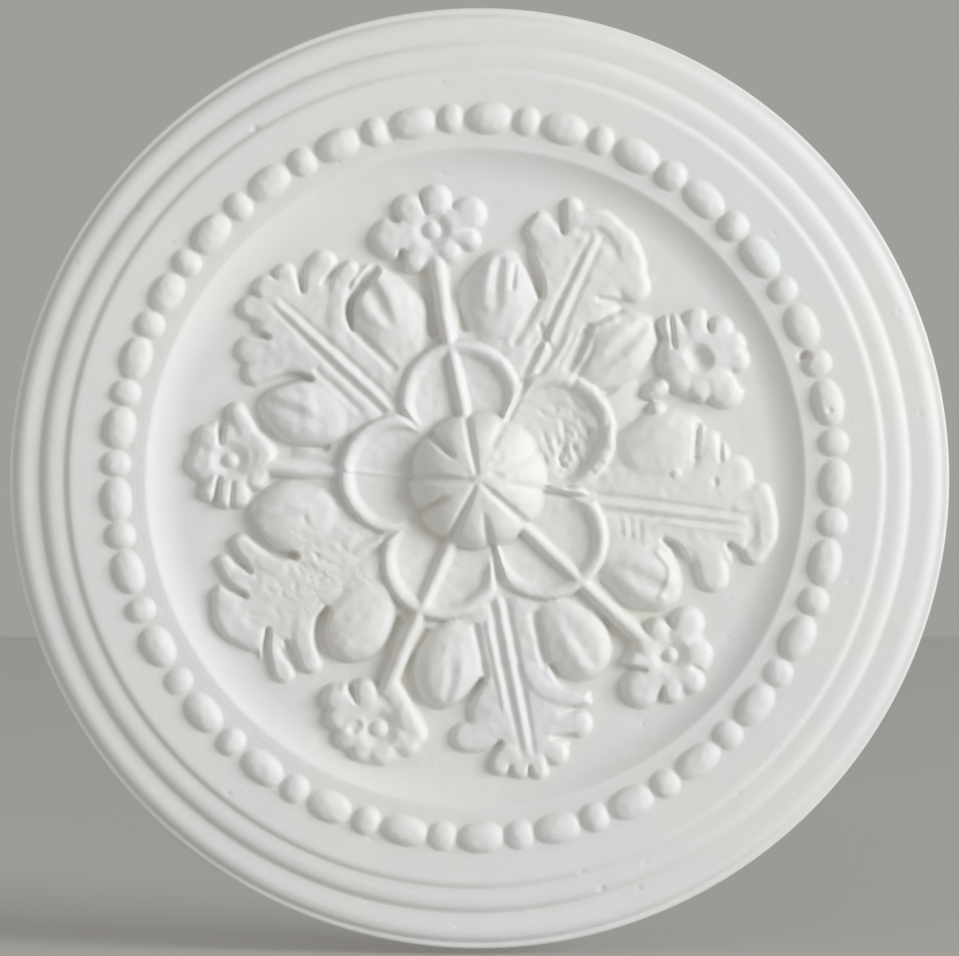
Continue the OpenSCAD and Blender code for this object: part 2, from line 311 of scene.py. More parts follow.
# it is pressed down beside the stems
for turn, aside, depth in (
        (101, 6.5, -3.6), (29, -8, -2.6), (317, -6.5, -3.6), (245, -6, -2.6),
        (173, 7.5, -3.6), (101, -6, -2.6), (245, 6, -3.6)):
    score(bed, turn, (50, 0.8 * aside, 2.2, depth), (56, aside, 3.2, depth),
          (63, 1.1 * aside, 3.4, depth))
sheet = smooth_top(sheet, bed, 2.0)

lip_w = 4.6
lip_h = 1.8                     # above the dish inside it
dish_h = 2.2                    # the middle of the dish above the ground
dish_rise = 2.0                 # from there to the lip
petal_places = (                # turn, distance out and radius of each
    (34, 28.8, 19.5), (102, 27.0, 19.3), (173, 25.2, 19.1), (244.5, 26.2, 19.3),
    (321.5, 27.4, 19.4))
petals = blank()
for turn, out, petal_r in petal_places:
    x, y = placed(turn, out, 0)
    away = np.hypot(across - x, up - y)
    # the dish also climbs a little outwards
    dish = ground_t + dish_h + dish_rise * (away / petal_r) ** 3 + 0.05 * (from_mid - out)
    lip = np.clip(1 - ((away - petal_r + lip_w / 2) / (lip_w / 2)) ** 2, 0, 1)
    rolled = np.where(away < petal_r, dish + lip_h * lip ** 0.7, deep)
    # where two petals meet, each keeps to its own side
    nearer = np.ones_like(away, bool)
    for other in (-72, 72):
        swing = (around - turn - other / 2 + 180) % 360 - 180
        nearer &= (swing * other < 0) | (np.abs(swing) > 90)
    petals = np.maximum(petals, np.where(nearer, rolled, deep))
for k in range(arms):
    turn = first_flower + 36 + 72 * k
    score(petals, turn, (18, 0, 1.0, -1.0), (28, 0, 1.2, -1.6), (33, 0, 1.4, -2.2),
          (36, 0, 1.5, -3))

# the petal to the upper right is worn: its floor is torn, most of all along the
# right of its rim, and the rim is chipped in five places
worn_turn, worn_out, worn_r = petal_places[0]
floor_r = worn_r - 5.0
chipped_r = worn_r - 1.5
score(petals, worn_turn, (38, 6, 3.0, -0.8), (33, 12, 3.2, -1.3), (25, 14, 3.0, -1.0))
for k in range(80):
    out, aside = 30 + hand.normal(0, 6), hand.normal(2, 5.5)
    bend, length = hand.normal(-1.0, 1.2), hand.uniform(2, 7)
    if math.hypot(out - worn_out, aside + length / 2) < floor_r:
        score(petals, worn_turn, (out, aside, 0.9, -0.1),
              (out + bend, aside + length, 1.2, -hand.uniform(0.2, 0.8)))
for bearing, size in ((-34, 1.8), (17, 2.6), (23, 1.6), (52, 2.2), (66, 1.4)):
    out = worn_out + chipped_r * math.cos(math.radians(bearing))
    aside = chipped_r * math.sin(math.radians(bearing))
    score(petals, worn_turn, (out, aside, size, -0.9),
          (out - 1.5, aside + hand.uniform(-1, 1), size, -0.7))

# a thin vein lies on the left petal, where the others have a stem
score(petals, 173, (21, 0, 0.9, 0.9), (42, -0.5, 0.9, 0.9))
sheet = np.where(petals > 0, petals, sheet)


# The boss in the middle is a gadrooned dome: five long grooves run from its top
# towards the stems and five short ones towards the leaves.
boss_mid = (-0.4, -0.7)         # it sits a little off the middle of the ornament
boss_r = 21.2
boss_h = 15.6
boss_away = np.hypot(across - boss_mid[0], up - boss_mid[1])
boss_turn = np.arctan2(up - boss_mid[1], across - boss_mid[0])
gadroons = np.abs(np.sin(5 * (boss_turn - math.radians(first_flower - 2)))) ** 0.7
reach = np.clip(boss_away / (boss_r + 0.9 * gadroons), 0, 1)
boss_dome = ground_t + boss_h * np.sqrt(1 - reach ** 2.1)
boss = np.where(reach < 1, boss_dome + 0.5 * gadroons * reach, deep)
for turn, depth in ((25, -0.4), (100, -1.7), (178, -2.2), (245, -1.8), (319, -1.5)):
    score(boss, turn, (2.5, 0, 1.1, depth / 2), (10, 0, 1.6, depth), (22, 0, 1.9, depth),
          middle=boss_mid)
for turn, depth in ((67, -0.9), (136, -2.4), (209, -2.4), (281, -1.4), (353, -0.9)):
    score(boss, turn, (11, 0, 1.0, depth / 3), (14, 0, 1.6, depth), (23, 0, 2.0, depth),
          middle=boss_mid)
# small knocks near its top
for turn, out in ((20, 5), (12, 6.5), (48, 7), (52, 10.5), (40, 9)):
    score(boss, turn, (out, 0, 1.2, -0.6), (out + 1.0, hand.uniform(-1, 1), 1.2, -0.6),
          middle=boss_mid)
score(boss, 150, (2, 0, 1.8, -0.5), (3.5, 0, 1.8, -0.5), middle=boss_mid)
sheet = smooth_top(sheet, boss, laid_fillet)


# A round stem runs from the boss over the middle of its petal to each flower.
# The upper right one is only a stub before its flower, and the left one shows
# only beyond its petal.
stems = blank()
for turn, near, halfway, far in (
        (101, -0.4, 0.2, 0.5), (245, -0.3, -0.8, -1.5), (317, 0.3, 0.4, 0.2)):
    swell(stems, turn, (19, 0, 2.7, 7.4), (32, near / 2, 2.8, 7.8), (45, near, 2.9, 9.0),
          (54, near, 3.0, 7.6), (63, halfway, 3.1, 6.8), (72, far, 3.3, 7.2), edge=2.4)
swell(stems, 173, (45, -1.5, 3.0, 5.8), (56, -2, 3.4, 6.0), (70, -2, 3.6, 6.4), edge=2.2)
swell(stems, 29, (62, 1, 2.8, 5.8), (66, 1, 3.2, 6.4), edge=2.2)
sheet = smooth_top(sheet, stems, laid_fillet)


# Each flower is a ring of puffed lobes round a button. No two are alike: some
# lobes curl over, some run together, and one flower has a dished middle.
def flower(turn, middle, lobes, top=7.6):
    """A flower with its middle, and (out, aside, radius) of each lobe."""
    layer = blank()
    mid_out, mid_aside = middle
    swell(layer, turn, (mid_out, mid_aside, 13, 6.4), (mid_out + 0.5, mid_aside, 13, 6.4),
          edge=5)
    for out, aside, radius in lobes:
        # each lobe starts halfway from the flower's middle
        start_out = mid_out + 0.5 * (out - mid_out)
        start_aside = mid_aside + 0.5 * (aside - mid_aside)
        swell(layer, turn, (start_out, start_aside, radius * 0.9, top - 1.0),
              (out, aside, radius * 1.05, top), edge=3.4, fillet=1.4)
    return layer


def button(layer, turn, out, aside, radius, top, moat):
    """A round button with a hollow round it."""
    score(layer, turn, (out, aside, radius + moat, -2.4),
          (out + 0.2, aside, radius + moat, -2.4))
    swell(layer, turn, (out, aside, radius, top), (out + 0.2, aside, radius, top),
          edge=2.2, fillet=0.4)


top_flower = flower(101, (82, 0.5), [
    (82, -12, 6.8), (90.5, -5, 4.6), (91.5, 4, 4.8), (85, 13.5, 5.4), (77, 12, 3.4),
    (74.5, 5, 4.0), (74, -6.5, 4.2)])
button(top_flower, 101, 82, 1, 3.8, 7.4, 2.6)
score(top_flower, 101, (93, -11.5, 1.6, -6), (89, -11, 1.8, -5), (87.5, -9.5, 1.2, -3))
score(top_flower, 101, (77, -10, 1.3, -4), (70, -10.5, 1.6, -5))
score(top_flower, 101, (88, 0, 1.0, -1.4), (96, -0.5, 1.4, -3))
score(top_flower, 101, (88, 9, 1.0, -1.6), (94, 10.5, 1.6, -4))
sheet = smooth_top(sheet, top_flower, laid_fillet)

right_flower = flower(29, (80, -1), [
    (91, -6, 4.2), (92, 0, 4.4), (91, 5, 4.0), (85.5, -11.5, 4.4), (78, -14, 4.2),
    (83, 11.5, 6.0), (75, -6, 4.6), (73, 1, 5.2), (76, 8, 4.0)], top=7.0)
swell(right_flower, 29, (80.6, -0.6, 6.6, 8.0), (80.6, -2.2, 6.4, 8.0), edge=3.4)
score(right_flower, 29, (80.8, -0.4, 4.8, -3.6), (80.6, -2.4, 4.4, -3.6))
score(right_flower, 29, (80, -19, 1.1, -2.4), (75.5, -8, 1.0, -1.6))
score(right_flower, 29, (72.5, 10, 2.2, -5), (71, 10.5, 2.2, -5))
score(right_flower, 29, (88, 8, 1.0, -2), (88, 13, 1.4, -3))
score(right_flower, 29, (88, -7, 1.0, -2), (90, -12, 1.4, -3))
swell(right_flower, 29, (64, 1, 3.2, 6.8), (64.5, 1, 3.2, 6.8), edge=2.2)
swell(right_flower, 29, (61, 6.5, 2.8, 6.2), (61.5, 7, 2.8, 6.2), edge=2.2)
sheet = smooth_top(sheet, right_flower, laid_fillet)

low_right_flower = flower(317, (81.5, -1), [
    (87.5, -8, 4.8), (92, -0.5, 4.2), (89.5, 6, 4.0), (82, 12, 6.4), (75.5, 7, 4.2),
    (73.5, 1, 4.0), (73, -5, 3.8), (78.5, -13, 5.2)])
button(low_right_flower, 317, 81.5, -2, 3.0, 6.8, 3.4)
score(low_right_flower, 317, (90, -4.5, 0.9, -1.6), (95, -5.5, 1.4, -3))
score(low_right_flower, 317, (87, 7.5, 0.9, -1.6), (90, 11.5, 1.6, -4))
score(low_right_flower, 317, (76, -9, 0.9, -1.6), (70, -10, 1.4, -3))
score(low_right_flower, 317, (79, 7, 0.9, -1.2), (73, 11.5, 1.8, -5))
sheet = smooth_top(sheet, low_right_flower, laid_fillet)

low_left_flower = flower(245, (83, -3), [
    (90, -8, 4.2), (92, -2, 3.8), (90.5, 4, 4.0), (86, 9, 4.2), (80.5, 12, 4.8),
    (75, 5, 4.4), (84, -14, 4.2)])
swell(low_left_flower, 245, (80.5, -15, 4.2, 7.0), (76, -9.5, 4.4, 7.6), (71, -3, 4.2, 7.2),
      edge=3.0, fillet=0.8)
button(low_left_flower, 245, 83.5, -4, 3.9, 7.0, 2.8)
score(low_left_flower, 245, (87, 3, 2.2, -2.0), (85.5, 2.5, 2.2, -2.0))
swell(low_left_flower, 245, (77, 11.5, 2.2, 7.6), (77.3, 11.6, 2.2, 7.6), edge=2.2)
score(low_left_flower, 245, (79, 6, 1.0, -1.4), (75, 9.5, 1.4, -3))
sheet = smooth_top(sheet, low_left_flower, laid_fillet)

left_flower = flower(173, (79, -1), [
    (88, -4, 5.2), (87, 4.5, 4.2), (75, -13, 3.8), (84, -12.5, 3.6), (79, -14, 3.4)], top=6.8)
swell(left_flower, 173, (72.5, 5, 3.6, 6.4), (76, 9, 4.0, 7.0), (79, 13.5, 3.4, 6.4),
      edge=3.0, fillet=0.8)
swell(left_flower, 173, (70.5, -7, 3.8, 6.4), (69, 1, 4.4, 7.2), (71.5, 5, 3.6, 6.6),
      edge=3.0, fillet=0.8)
button(left_flower, 173, 79, -2, 3.3, 6.6, 3.4)
score(left_flower, 173, (82.5, -21, 1.6, -4), (82, -8, 1.2, -2))
score(left_flower, 173, (77, -18, 1.0, -2), (77.5, -9, 1.0, -1.4))
score(left_flower, 173, (83, 3, 1.2, -2), (83.5, 12, 1.8, -5))
sheet = smooth_top(sheet, left_flower, laid_fillet)


# Five acanthus leaves lie between the flowers. Each has a veined body with two
# fingers on either side, a scalloped tip, and a plump lobe turned over towards
# each neighbouring stem. Deep slits part the fingers.
def leaf(turn, lobes, body_top=5.4):
    """A leaf's spread body with its lobes, each (turn, out, (aside, rise) of its folds)."""
    layer = blank()
    swell(layer, turn, (31, 0, 3, 3.6), (38, 0, 9, 5.0), (46, 0, 13, body_top),
          (56, 0, 15, body_top), (66, 0, 16, body_top), (74, 0, 17.5, body_top - 0.2),
          (78, 0, 15, body_top - 0.2), edge=8)
    for lobe, out, folds in lobes:
        side = -1 if (lobe - turn) % 360 < 180 else 1
        swell(layer, turn, (43, side * 9, 8, 5.0), (49, side * 15, 10, 5.4),
              (56, side * 20, 12, 5.2), edge=5, fillet=2.0)
        swell(layer, lobe, (out - 7, 0, 8.8, 6.2), (out, 0, 10.4, 7.6), (out + 5, 0, 8.6, 7.0),
              edge=3.4, fillet=5.0)
        for aside, rise in folds:
            score(layer, lobe, (out - 8, 0.3 * aside, 2.2, rise / 3),
                  (out - 2, 0.9 * aside, 3.0, rise), (out + 5, aside, 2.8, rise),
                  (out + 9, 0.8 * aside, 2.4, rise))
    return layer


def midrib(layer, turn, aside, far):
    """A narrow raised rib down the middle with a groove on either side."""
    score(layer, turn, (37, aside, 1.4, 0.7), (60, aside, 1.4, 0.7), (far, aside, 1.2, 0.4))
    score(layer, turn, (38, aside - 2.4, 1.4, -0.9), (60, aside - 2.4, 1.5, -1.0),
          (far, aside - 2, 1.2, -0.5))
    score(layer, turn, (38, aside + 2.4, 1.4, -0.7), (60, aside + 2.4, 1.4, -0.8),
          (far, aside + 2, 1.1, -0.4))


leaf_fillet = 0.8               # where a leaf meets what it lies on

# upper left
leaf_a = leaf(137, (
    (118.6, 65.5, ((-4.8, 0.9), (0, -0.8), (4, 0.8))),
    (157.7, 61.5, ((2.5, 0.5), (-1, -0.5)))))
for points in (
        [(80, 0, 8, 5.2), (88, -1, 8, 6.2)],
        [(86, -5, 5, 5.8), (91, -8, 4.2, 6.2)],
        [(88, 0, 5, 6.0), (91.5, 0, 4.6, 6.4)],
        [(86, 4, 5, 6.0), (90.5, 7, 3.6, 6.4)],
        [(74, -5, 6, 5.2), (80, -13, 5.6, 5.2), (82, -18, 5.2, 4.8)],
        [(68, -6, 5, 5.2), (73, -14, 5, 5.0), (76, -22, 4.6, 4.6)],
        [(64, 3, 3.6, 5.6), (70, 9, 3.8, 6.2), (75, 16, 3.6, 6.2), (76.5, 21.5, 3.4, 5.6)],
        [(76, 4, 4.4, 5.2), (82, 11, 4.8, 5.2), (84, 17.5, 4.6, 5.4)]):
    swell(leaf_a, 137, *points)
midrib(leaf_a, 137, -1.5, 86)
score(leaf_a, 137, (44, -8.5, 1.8, -0.9), (62, -8.5, 1.6, -0.9))
score(leaf_a, 137, (45, 8.5, 2.0, -1.2), (61, 9, 1.8, -1.4))
for points in (
        [(62, -12, 1.4, -3), (66, -15, 1.9, -5), (70, -22, 2.1, -6), (71, -28, 2.6, -7)],
        [(63, 9, 1.3, -3), (67, 12, 1.7, -5), (69.5, 17, 1.9, -6), (70.5, 27, 2.2, -7)],
        [(81, -11.5, 1.2, -3), (86, -14, 1.8, -6), (92, -16.5, 2.4, -7)],
        [(83, 7, 1.2, -3), (87, 10.5, 1.9, -6), (92, 15, 2.6, -7)],
        [(79.8, 13, 0.8, -1.5), (80, 24, 1.5, -5)],
        [(92, -4, 0.9, -1.2), (97, -4.8, 1.6, -4)],
        [(92, 4, 0.9, -1.2), (97, 4.6, 1.6, -4)]):
    score(leaf_a, 137, *points)
score(leaf_a, 137, (52, -23, 3.0, 0.4), (57, -18, 3.0, 0.6), (62, -14, 2.6, 0.3))
sheet = smooth_top(sheet, leaf_a, leaf_fillet)

# upper right, with a broken midrib
leaf_b = leaf(65, (
    (83.5, 62, ((-4.5, 0.7), (-1.5, -0.6), (1.5, 0.7), (5, 0.6))),
    (44.2, 63, ((-3, 0.4), (0.5, -0.6), (4, 0.5)))))
for points in (
        [(80, 2, 9, 5.4), (86, 2, 9, 5.6)],
        [(89, -8, 4.4, 5.8), (92, -10.5, 3.6, 6.0)],
        [(90, -6, 3.6, 5.6), (92.5, 0, 3.6, 5.9), (91, 6, 3.4, 5.7), (89, 10, 4.2, 5.8),
         (84, 15, 4.4, 5.4)],
        [(76, -6, 6, 5.4), (80, -13, 5.8, 5.4), (82.5, -17.5, 5, 5.2)],
        [(74, 8, 6, 5.2), (80, 14, 6, 5.4), (78, 18, 5.4, 5.2)]):
    swell(leaf_b, 65, *points)
score(leaf_b, 65, (87, -4, 2.6, -0.8), (88.4, 1, 2.8, -1.0), (86, 7, 2.6, -0.7))
midrib(leaf_b, 65, 0.8, 87)
score(leaf_b, 65, (49, 2.5, 1.2, -1.2), (54, -3.5, 1.2, -1.2))
score(leaf_b, 65, (46, -8.5, 2.0, -1.2), (60, -7.5, 1.8, -1.2))
score(leaf_b, 65, (46, 10, 2.4, -1.2), (60, 10.5, 2.0, -1.4))
for points in (
        [(62.5, -7.5, 1.6, -3), (66, -10, 2.4, -6), (72, -17, 2.6, -7), (77, -25, 2.8, -7)],
        [(84, -9.5, 1.2, -3), (88, -12, 1.8, -6), (92, -14.5, 2.2, -7)],
        [(80, -21.5, 1.2, -3), (87, -20.5, 1.6, -4)],
        [(69.5, 10, 1.4, -1.6), (71.5, 17, 1.6, -3), (72.5, 25, 1.8, -5)]):
    score(leaf_b, 65, *points)
score(leaf_b, 65, (61, -16.5, 1.0, -1.2), (68, -19, 1.0, -1.2))
score(leaf_b, 65, (60, 12, 1.6, 1.2), (66, 17, 1.6, 1.2))
for aside in (-4, -1, 4, 7, 11, 14):
    score(leaf_b, 65, (45, aside, 1.1, -0.5), (52, aside + 0.6, 1.2, -0.8),
          (57, aside + 0.4, 1.0, -0.4))
sheet = smooth_top(sheet, leaf_b, leaf_fillet)

# right, low and soft on its upper flank
leaf_c = leaf(353, (
    (12.9, 61, ((-2, 0.3), (4, -0.3))),
    (330.4, 59.5, ((-4, 0.6), (0.5, -0.4), (4, 0.5)))), body_top=5.2)
for points in (
        [(80, 2, 9, 5.0), (86, 3, 8.5, 5.2)],
        [(89, -8, 3.8, 5.2), (91.5, -2, 3.8, 5.6), (92.5, 5, 3.8, 5.8), (89.5, 11, 3.8, 5.6)],
        [(76, -7, 7, 5.0), (80, -13, 6.5, 4.8)],
        [(70, -8, 6, 5.0), (73, -16, 6, 4.6), (71, -21, 5.4, 4.2)],
        [(72, 8, 5, 5.2), (76, 15, 5.4, 5.4), (77.5, 20, 5, 5.2)]):
    swell(leaf_c, 353, *points)
score(leaf_c, 353, (87.5, 0, 2.6, -0.6), (88.6, 8, 2.8, -0.8))
midrib(leaf_c, 353, 1.0, 85)
score(leaf_c, 353, (60, 4.5, 1.2, 0.6), (84, 5, 1.2, 0.4))
for points in (
        [(61, 10.5, 1.5, -3), (65, 13, 2.1, -5), (69, 20, 2.3, -6), (70.5, 28, 2.6, -7)],
        [(81.5, 9.5, 1.4, -4), (84.5, 13, 2.3, -6), (88, 20, 3.0, -7)],
        [(74.5, -24, 1.2, -2.4), (75.5, -17, 1.0, -1.2)],
        [(67, -27, 1.6, -4), (67, -17, 1.2, -1.4)]):
    score(leaf_c, 353, *points)
swell(leaf_c, 353, (61.5, -11, 2.6, 6.8), (62, -11.3, 2.6, 6.8), edge=2.2)
score(leaf_c, 353, (59, 14, 1.5, 1.0), (64, 20, 1.6, 1.2), (62, 28, 1.6, 0.8))
score(leaf_c, 353, (74.5, -10.5, 1.1, -1.2), (74.8, -9.5, 1.1, -1.2))
for out in (46, 49, 52):
    score(leaf_c, 353, (out, 5, 1.1, -0.3), (out + 1.2, 10.5, 1.0, -0.6))
sheet = smooth_top(sheet, leaf_c, leaf_fillet)

# bottom, the crispest, with two ribs
leaf_d = leaf(281, (
    (302.5, 58, ((3.5, 0.6), (-1, -0.4))),
    (260.3, 59, ((-4.2, 0.5), (-1.8, -0.5), (0.5, 0.5), (4.2, 0.5)))))
for points in (
        [(80, 1, 8, 5.2), (86, 1, 7.5, 5.6)],
        [(85, -5, 4.2, 6.0), (88.5, -8, 3.8, 6.6)],
        [(88, -1, 3.6, 6.2), (92.5, -1.5, 3.2, 6.4)],
        [(88, 4, 4.2, 6.2), (90.5, 4, 4.0, 6.4)],
        [(86, 7, 4.4, 6.0), (88.5, 10, 3.8, 6.2)],
        [(76, -5, 4.6, 5.0), (79.5, -12, 4.8, 5.2), (80.5, -16.5, 4.6, 5.6)],
        [(60, -4.5, 3.4, 5.8), (66.5, -7, 3.6, 6.4), (71, -13, 3.4, 6.4), (73, -19.5, 3.2, 5.8)],
        [(74, 8, 5.6, 5.2), (78, 15, 5.4, 5.2), (78, 19, 5.0, 5.0)]):
    swell(leaf_d, 281, *points)
midrib(leaf_d, 281, 0.8, 87)
score(leaf_d, 281, (44, 5.6, 1.3, 0.8), (72, 5.4, 1.2, 0.6))
score(leaf_d, 281, (44, -9.5, 2.2, -1.6), (60, -10, 2.0, -1.8))
score(leaf_d, 281, (44, 9.5, 1.6, -1.4), (60, 9.5, 1.6, -1.4))
for points in (
        [(61, -12, 1.6, -3), (66, -14.5, 1.9, -5), (69.5, -20, 1.8, -5), (71, -28, 2.2, -7)],
        [(61.5, 11, 1.7, -4), (66, 16, 2.0, -5), (69, 22, 2.0, -6), (71, 28, 2.4, -7)],
        [(76.2, -12, 1.2, -0.8), (76, -22, 1.5, -3)],
        [(83.5, -8, 1.3, -1.2), (84.5, -14, 1.6, -4)],
        [(82, 9, 1.3, -3), (85.5, 13.5, 1.8, -6), (92, 15, 2.4, -7)],
        [(92, -4.8, 0.8, -2), (96, -5.4, 1.2, -4)],
        [(91, 1.2, 0.8, -1.6), (96, 1.2, 1.2, -4)],
        [(90, 7, 0.8, -1.6), (95, 8, 1.2, -4)]):
    score(leaf_d, 281, *points)
score(leaf_d, 281, (73, -22, 1.3, -3), (73.4, -22.4, 1.3, -3))
sheet = smooth_top(sheet, leaf_d, leaf_fillet)

# lower left, worn and scratched, with its fingers well apart
leaf_e = leaf(209, (
    (229.2, 58, ((-2, 0.3), (5, -0.4))),
    (189.7, 61, ((3.5, 0.4), (0, -0.4)))))
for points in (
        [(78, 0, 8, 4.4), (84, 0, 8.5, 4.6)],
        [(86, -8, 4.6, 5.6), (90, 0, 5.0, 6.8), (87.5, 8, 4.4, 6.2)],
        [(80, -6, 4, 4.8), (84, -15, 3.8, 5.2), (83, -22, 3.6, 5.0)],
        [(67, -8, 3.8, 5.4), (72.5, -16, 4.0, 5.8), (74, -23.5, 3.6, 5.4)],
        [(77, 6, 4, 4.8), (82.5, 12, 3.8, 5.2), (83, 17, 3.4, 5.2)],
        [(68, 7, 3.8, 5.4), (73, 14, 3.8, 5.8), (75, 20, 3.6, 5.6)]):
    swell(leaf_e, 209, *points)
score(leaf_e, 209, (36, -0.5, 1.4, 0.9), (44, 0, 1.2, 0.4))
score(leaf_e, 209, (36, -3, 1.4, -1.0), (44, -2.6, 1.4, -0.5))
score(leaf_e, 209, (36, 2.2, 1.4, -1.0), (44, 2.6, 1.4, -0.5))
for points in (
        [(61.5, -11.5, 1.6, -3), (65, -14, 2.2, -6), (68, -20, 2.2, -6), (69, -28, 2.4, -7)],
        [(81, -8, 1.2, -3), (85, -14, 1.6, -6), (88, -22, 2.2, -7)],
        [(77.8, -14, 1.0, -2), (78.5, -26, 1.6, -6)],
        [(62, 8.5, 1.6, -4), (67, 12.5, 1.8, -5), (69, 20, 2.0, -6), (69.5, 29, 2.4, -7)],
        [(82, 5, 1.2, -3), (85.5, 11, 1.7, -6), (86.5, 20, 2.2, -7)],
        [(77, 11, 1.1, -2), (78.6, 17, 1.6, -5), (78.5, 25, 2.0, -7)]):
    score(leaf_e, 209, *points)
for k in range(130):
    out, aside = hand.normal(60, 10), hand.normal(-1, 7)
    length, lean, width = hand.uniform(0.8, 5), hand.normal(0.6, 1.2), hand.uniform(0.5, 0.9)
    score(leaf_e, 209, (out, aside, width, -0.1),
          (out + lean, aside + length, width, -hand.uniform(0.1, 0.5)))
sheet = smooth_top(sheet, leaf_e, leaf_fillet)


# The plaster was poured into a well-used mould: small air holes are left on the
# rim, between the beads and in the leaves, and no face is quite even.
pits = [                        # turn and distance from the middle, radius, depth
    (122, 133.5, 1.3, 0.7), (141, 139.5, 1.0, 0.9), (118.5, 131, 0.8, 0.6),
    (287, 134, 1.2, 0.6), (21.5, 111, 2.2, 2.4), (292, 138, 1.0, 0.7),
    (285, 127, 0.8, 0.5), (104, 113, 1.0, 0.8), (95, 128, 0.7, 0.5),
    (231, 126, 0.9, 0.5), (12, 113.5, 1.2, 1.0), (255, 137, 0.8, 0.5)]
for turn, out, radius, depth in pits:
    score(sheet, turn, (out, 0, radius, -depth), (out + 0.2, 0.1, radius, -depth))
small_pits = 45                 # anywhere on the face
for k in range(small_pits):
    out, turn = 150 * math.sqrt(hand.uniform(0.02, 0.95)), hand.uniform(0, 360)
    radius = hand.uniform(0.5, 0.9)
    score(sheet, turn, (out, 0, radius, -0.4), (out + 0.1, 0.1, radius, -0.4))

# the waves lie over the whole face; the ripples are left by the modelling tools on
# the ornament and the beads, and the turned faces between them are smooth
wave_size, wave_h = 6, 0.03
ripple_size, ripple_h = 0.8, 0.09
waves = soften(hand.standard_normal(sheet.shape), wave_size)
ripples = soften(hand.standard_normal(sheet.shape), ripple_size)
ornament_r = 98
turned = np.where(from_mid < ornament_r, ground_t, border_h) + 0.4
modelled = np.clip((sheet - turned) / 1.5, 0, 1)
sheet += wave_h * waves / waves.std() + ripple_h * modelled * ripples / ripples.std()
cast_soften = 0.35              # plaster doesn't fill the sharpest corners of a mould
sheet = soften(sheet, cast_soften)
sheet = np.minimum(sheet, -rose_low[1] * 1000 - 0.05)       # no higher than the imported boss


# The casting is one closed skin. A close net covers the ornament, the cove and
# the beads, and is thinned where it is flat. Plain rings carry on from it over
# the rim, round the edge, and over a back struck off flat against the bench.
rings = 270                     # of the net, from the middle out
net_r = bead_at + 6.0
edge_round = 1.2
places = np.arange(-rings, rings + 1) / rings
col, row = np.meshgrid(places, places)
wide = np.abs(col) > np.abs(row)
far = np.where(wide, col, row)
swing = np.where(wide, row, col) / np.where(far == 0, 1, far) * math.pi / 4
net_x = net_r * far * np.where(wide, np.cos(swing), np.sin(swing))
net_z = net_r * far * np.where(wide, np.sin(swing), np.cos(swing))


def sampled(field, x, y):
    """A field of the sheet read between its points."""
    gx = np.clip((np.asarray(x) + half) / step, 0, len(axis) - 1.001)
    gy = np.clip((np.asarray(y) + half) / step, 0, len(axis) - 1.001)
    ix, iy = gx.astype(int), gy.astype(int)
    fx, fy = gx - ix, gy - iy
    low = field[iy, ix] * (1 - fx) + field[iy, ix + 1] * fx
    high = field[iy + 1, ix] * (1 - fx) + field[iy + 1, ix + 1] * fx
    return low * (1 - fy) + high * fy


side = 2 * rings + 1
face = np.column_stack([net_x.ravel(), -sampled(sheet, net_x, net_z).ravel(), net_z.ravel()])
numbers = np.arange(side * side).reshape(side, side)
quads = [np.column_stack([numbers[:-1, :-1].ravel(), numbers[:-1, 1:].ravel(),
                          numbers[1:, 1:].ravel(), numbers[1:, :-1].ravel()])]
border = np.concatenate([numbers[0, :-1], numbers[:-1, -1],
                         numbers[-1, :0:-1], numbers[:0:-1, 0]])
bearing = np.arctan2(face[border, 2], face[border, 0])[::4]
face_r = rim_r - edge_round
rim_rings = 56
# radius and height of each ring; none for a height means that of the sheet
outline = [(out, None) for out in np.linspace(net_r + 0.5, face_r, rim_rings)]
outline += [(face_r + edge_round * math.sin(t), edge_h - edge_round * (1 - math.cos(t)))
            for t in np.radians([20, 40, 60, 75, 90])]
outline += [(rim_r, 2.4), (rim_r, 0.5), (rim_r - 0.5, 0.0)]
outline += [(share * rim_r, 0.0) for share in (0.9, 0.75, 0.6, 0.45, 0.3, 0.15)]
corners = [face]
total = len(face)
last = None
for out, high in outline:
    x, z = out * np.cos(bearing), out * np.sin(bearing)
    heights = sampled(sheet, x, z) if high is None else np.full(len(bearing), high)
    corners.append(np.column_stack([x, -heights, z]))
    now = np.arange(total, total + len(bearing))
    if last is None:
        # four sides of the net meet one side of the first ring
        after = np.roll(border, -4)
        joint = np.column_stack([border[::4], now, np.roll(now, -1), after[::4],
                                 border[3::4], border[2::4], border[1::4]])
    else:
        quads.append(np.column_stack([last, now, np.roll(now, -1), np.roll(last, -1)]))
    last, total = now, total + len(bearing)
corners.append(np.zeros((1, 3)))
corners = np.vstack(corners) / 1000
quads = np.vstack(quads)
fan = np.column_stack([last, np.full(len(last), total), np.roll(last, -1)])

skin = bpy.data.meshes.new("rose_skin")
skin.vertices.add(len(corners))
skin.vertices.foreach_set("co", corners.ravel())
sides = [quads, joint, fan]
skin.loops.add(sum(group.size for group in sides))
skin.loops.foreach_set("vertex_index", np.concatenate([group.ravel() for group in sides]))
skin.polygons.add(sum(len(group) for group in sides))
lengths = np.concatenate([np.full(len(group), group.shape[1]) for group in sides])
skin.polygons.foreach_set("loop_start", np.concatenate([[0], np.cumsum(lengths)[:-1]]))
skin.update(calc_edges=True)
skin.validate()
net = bpy.data.objects.new("rose_net", skin)
bpy.context.scene.collection.objects.link(net)

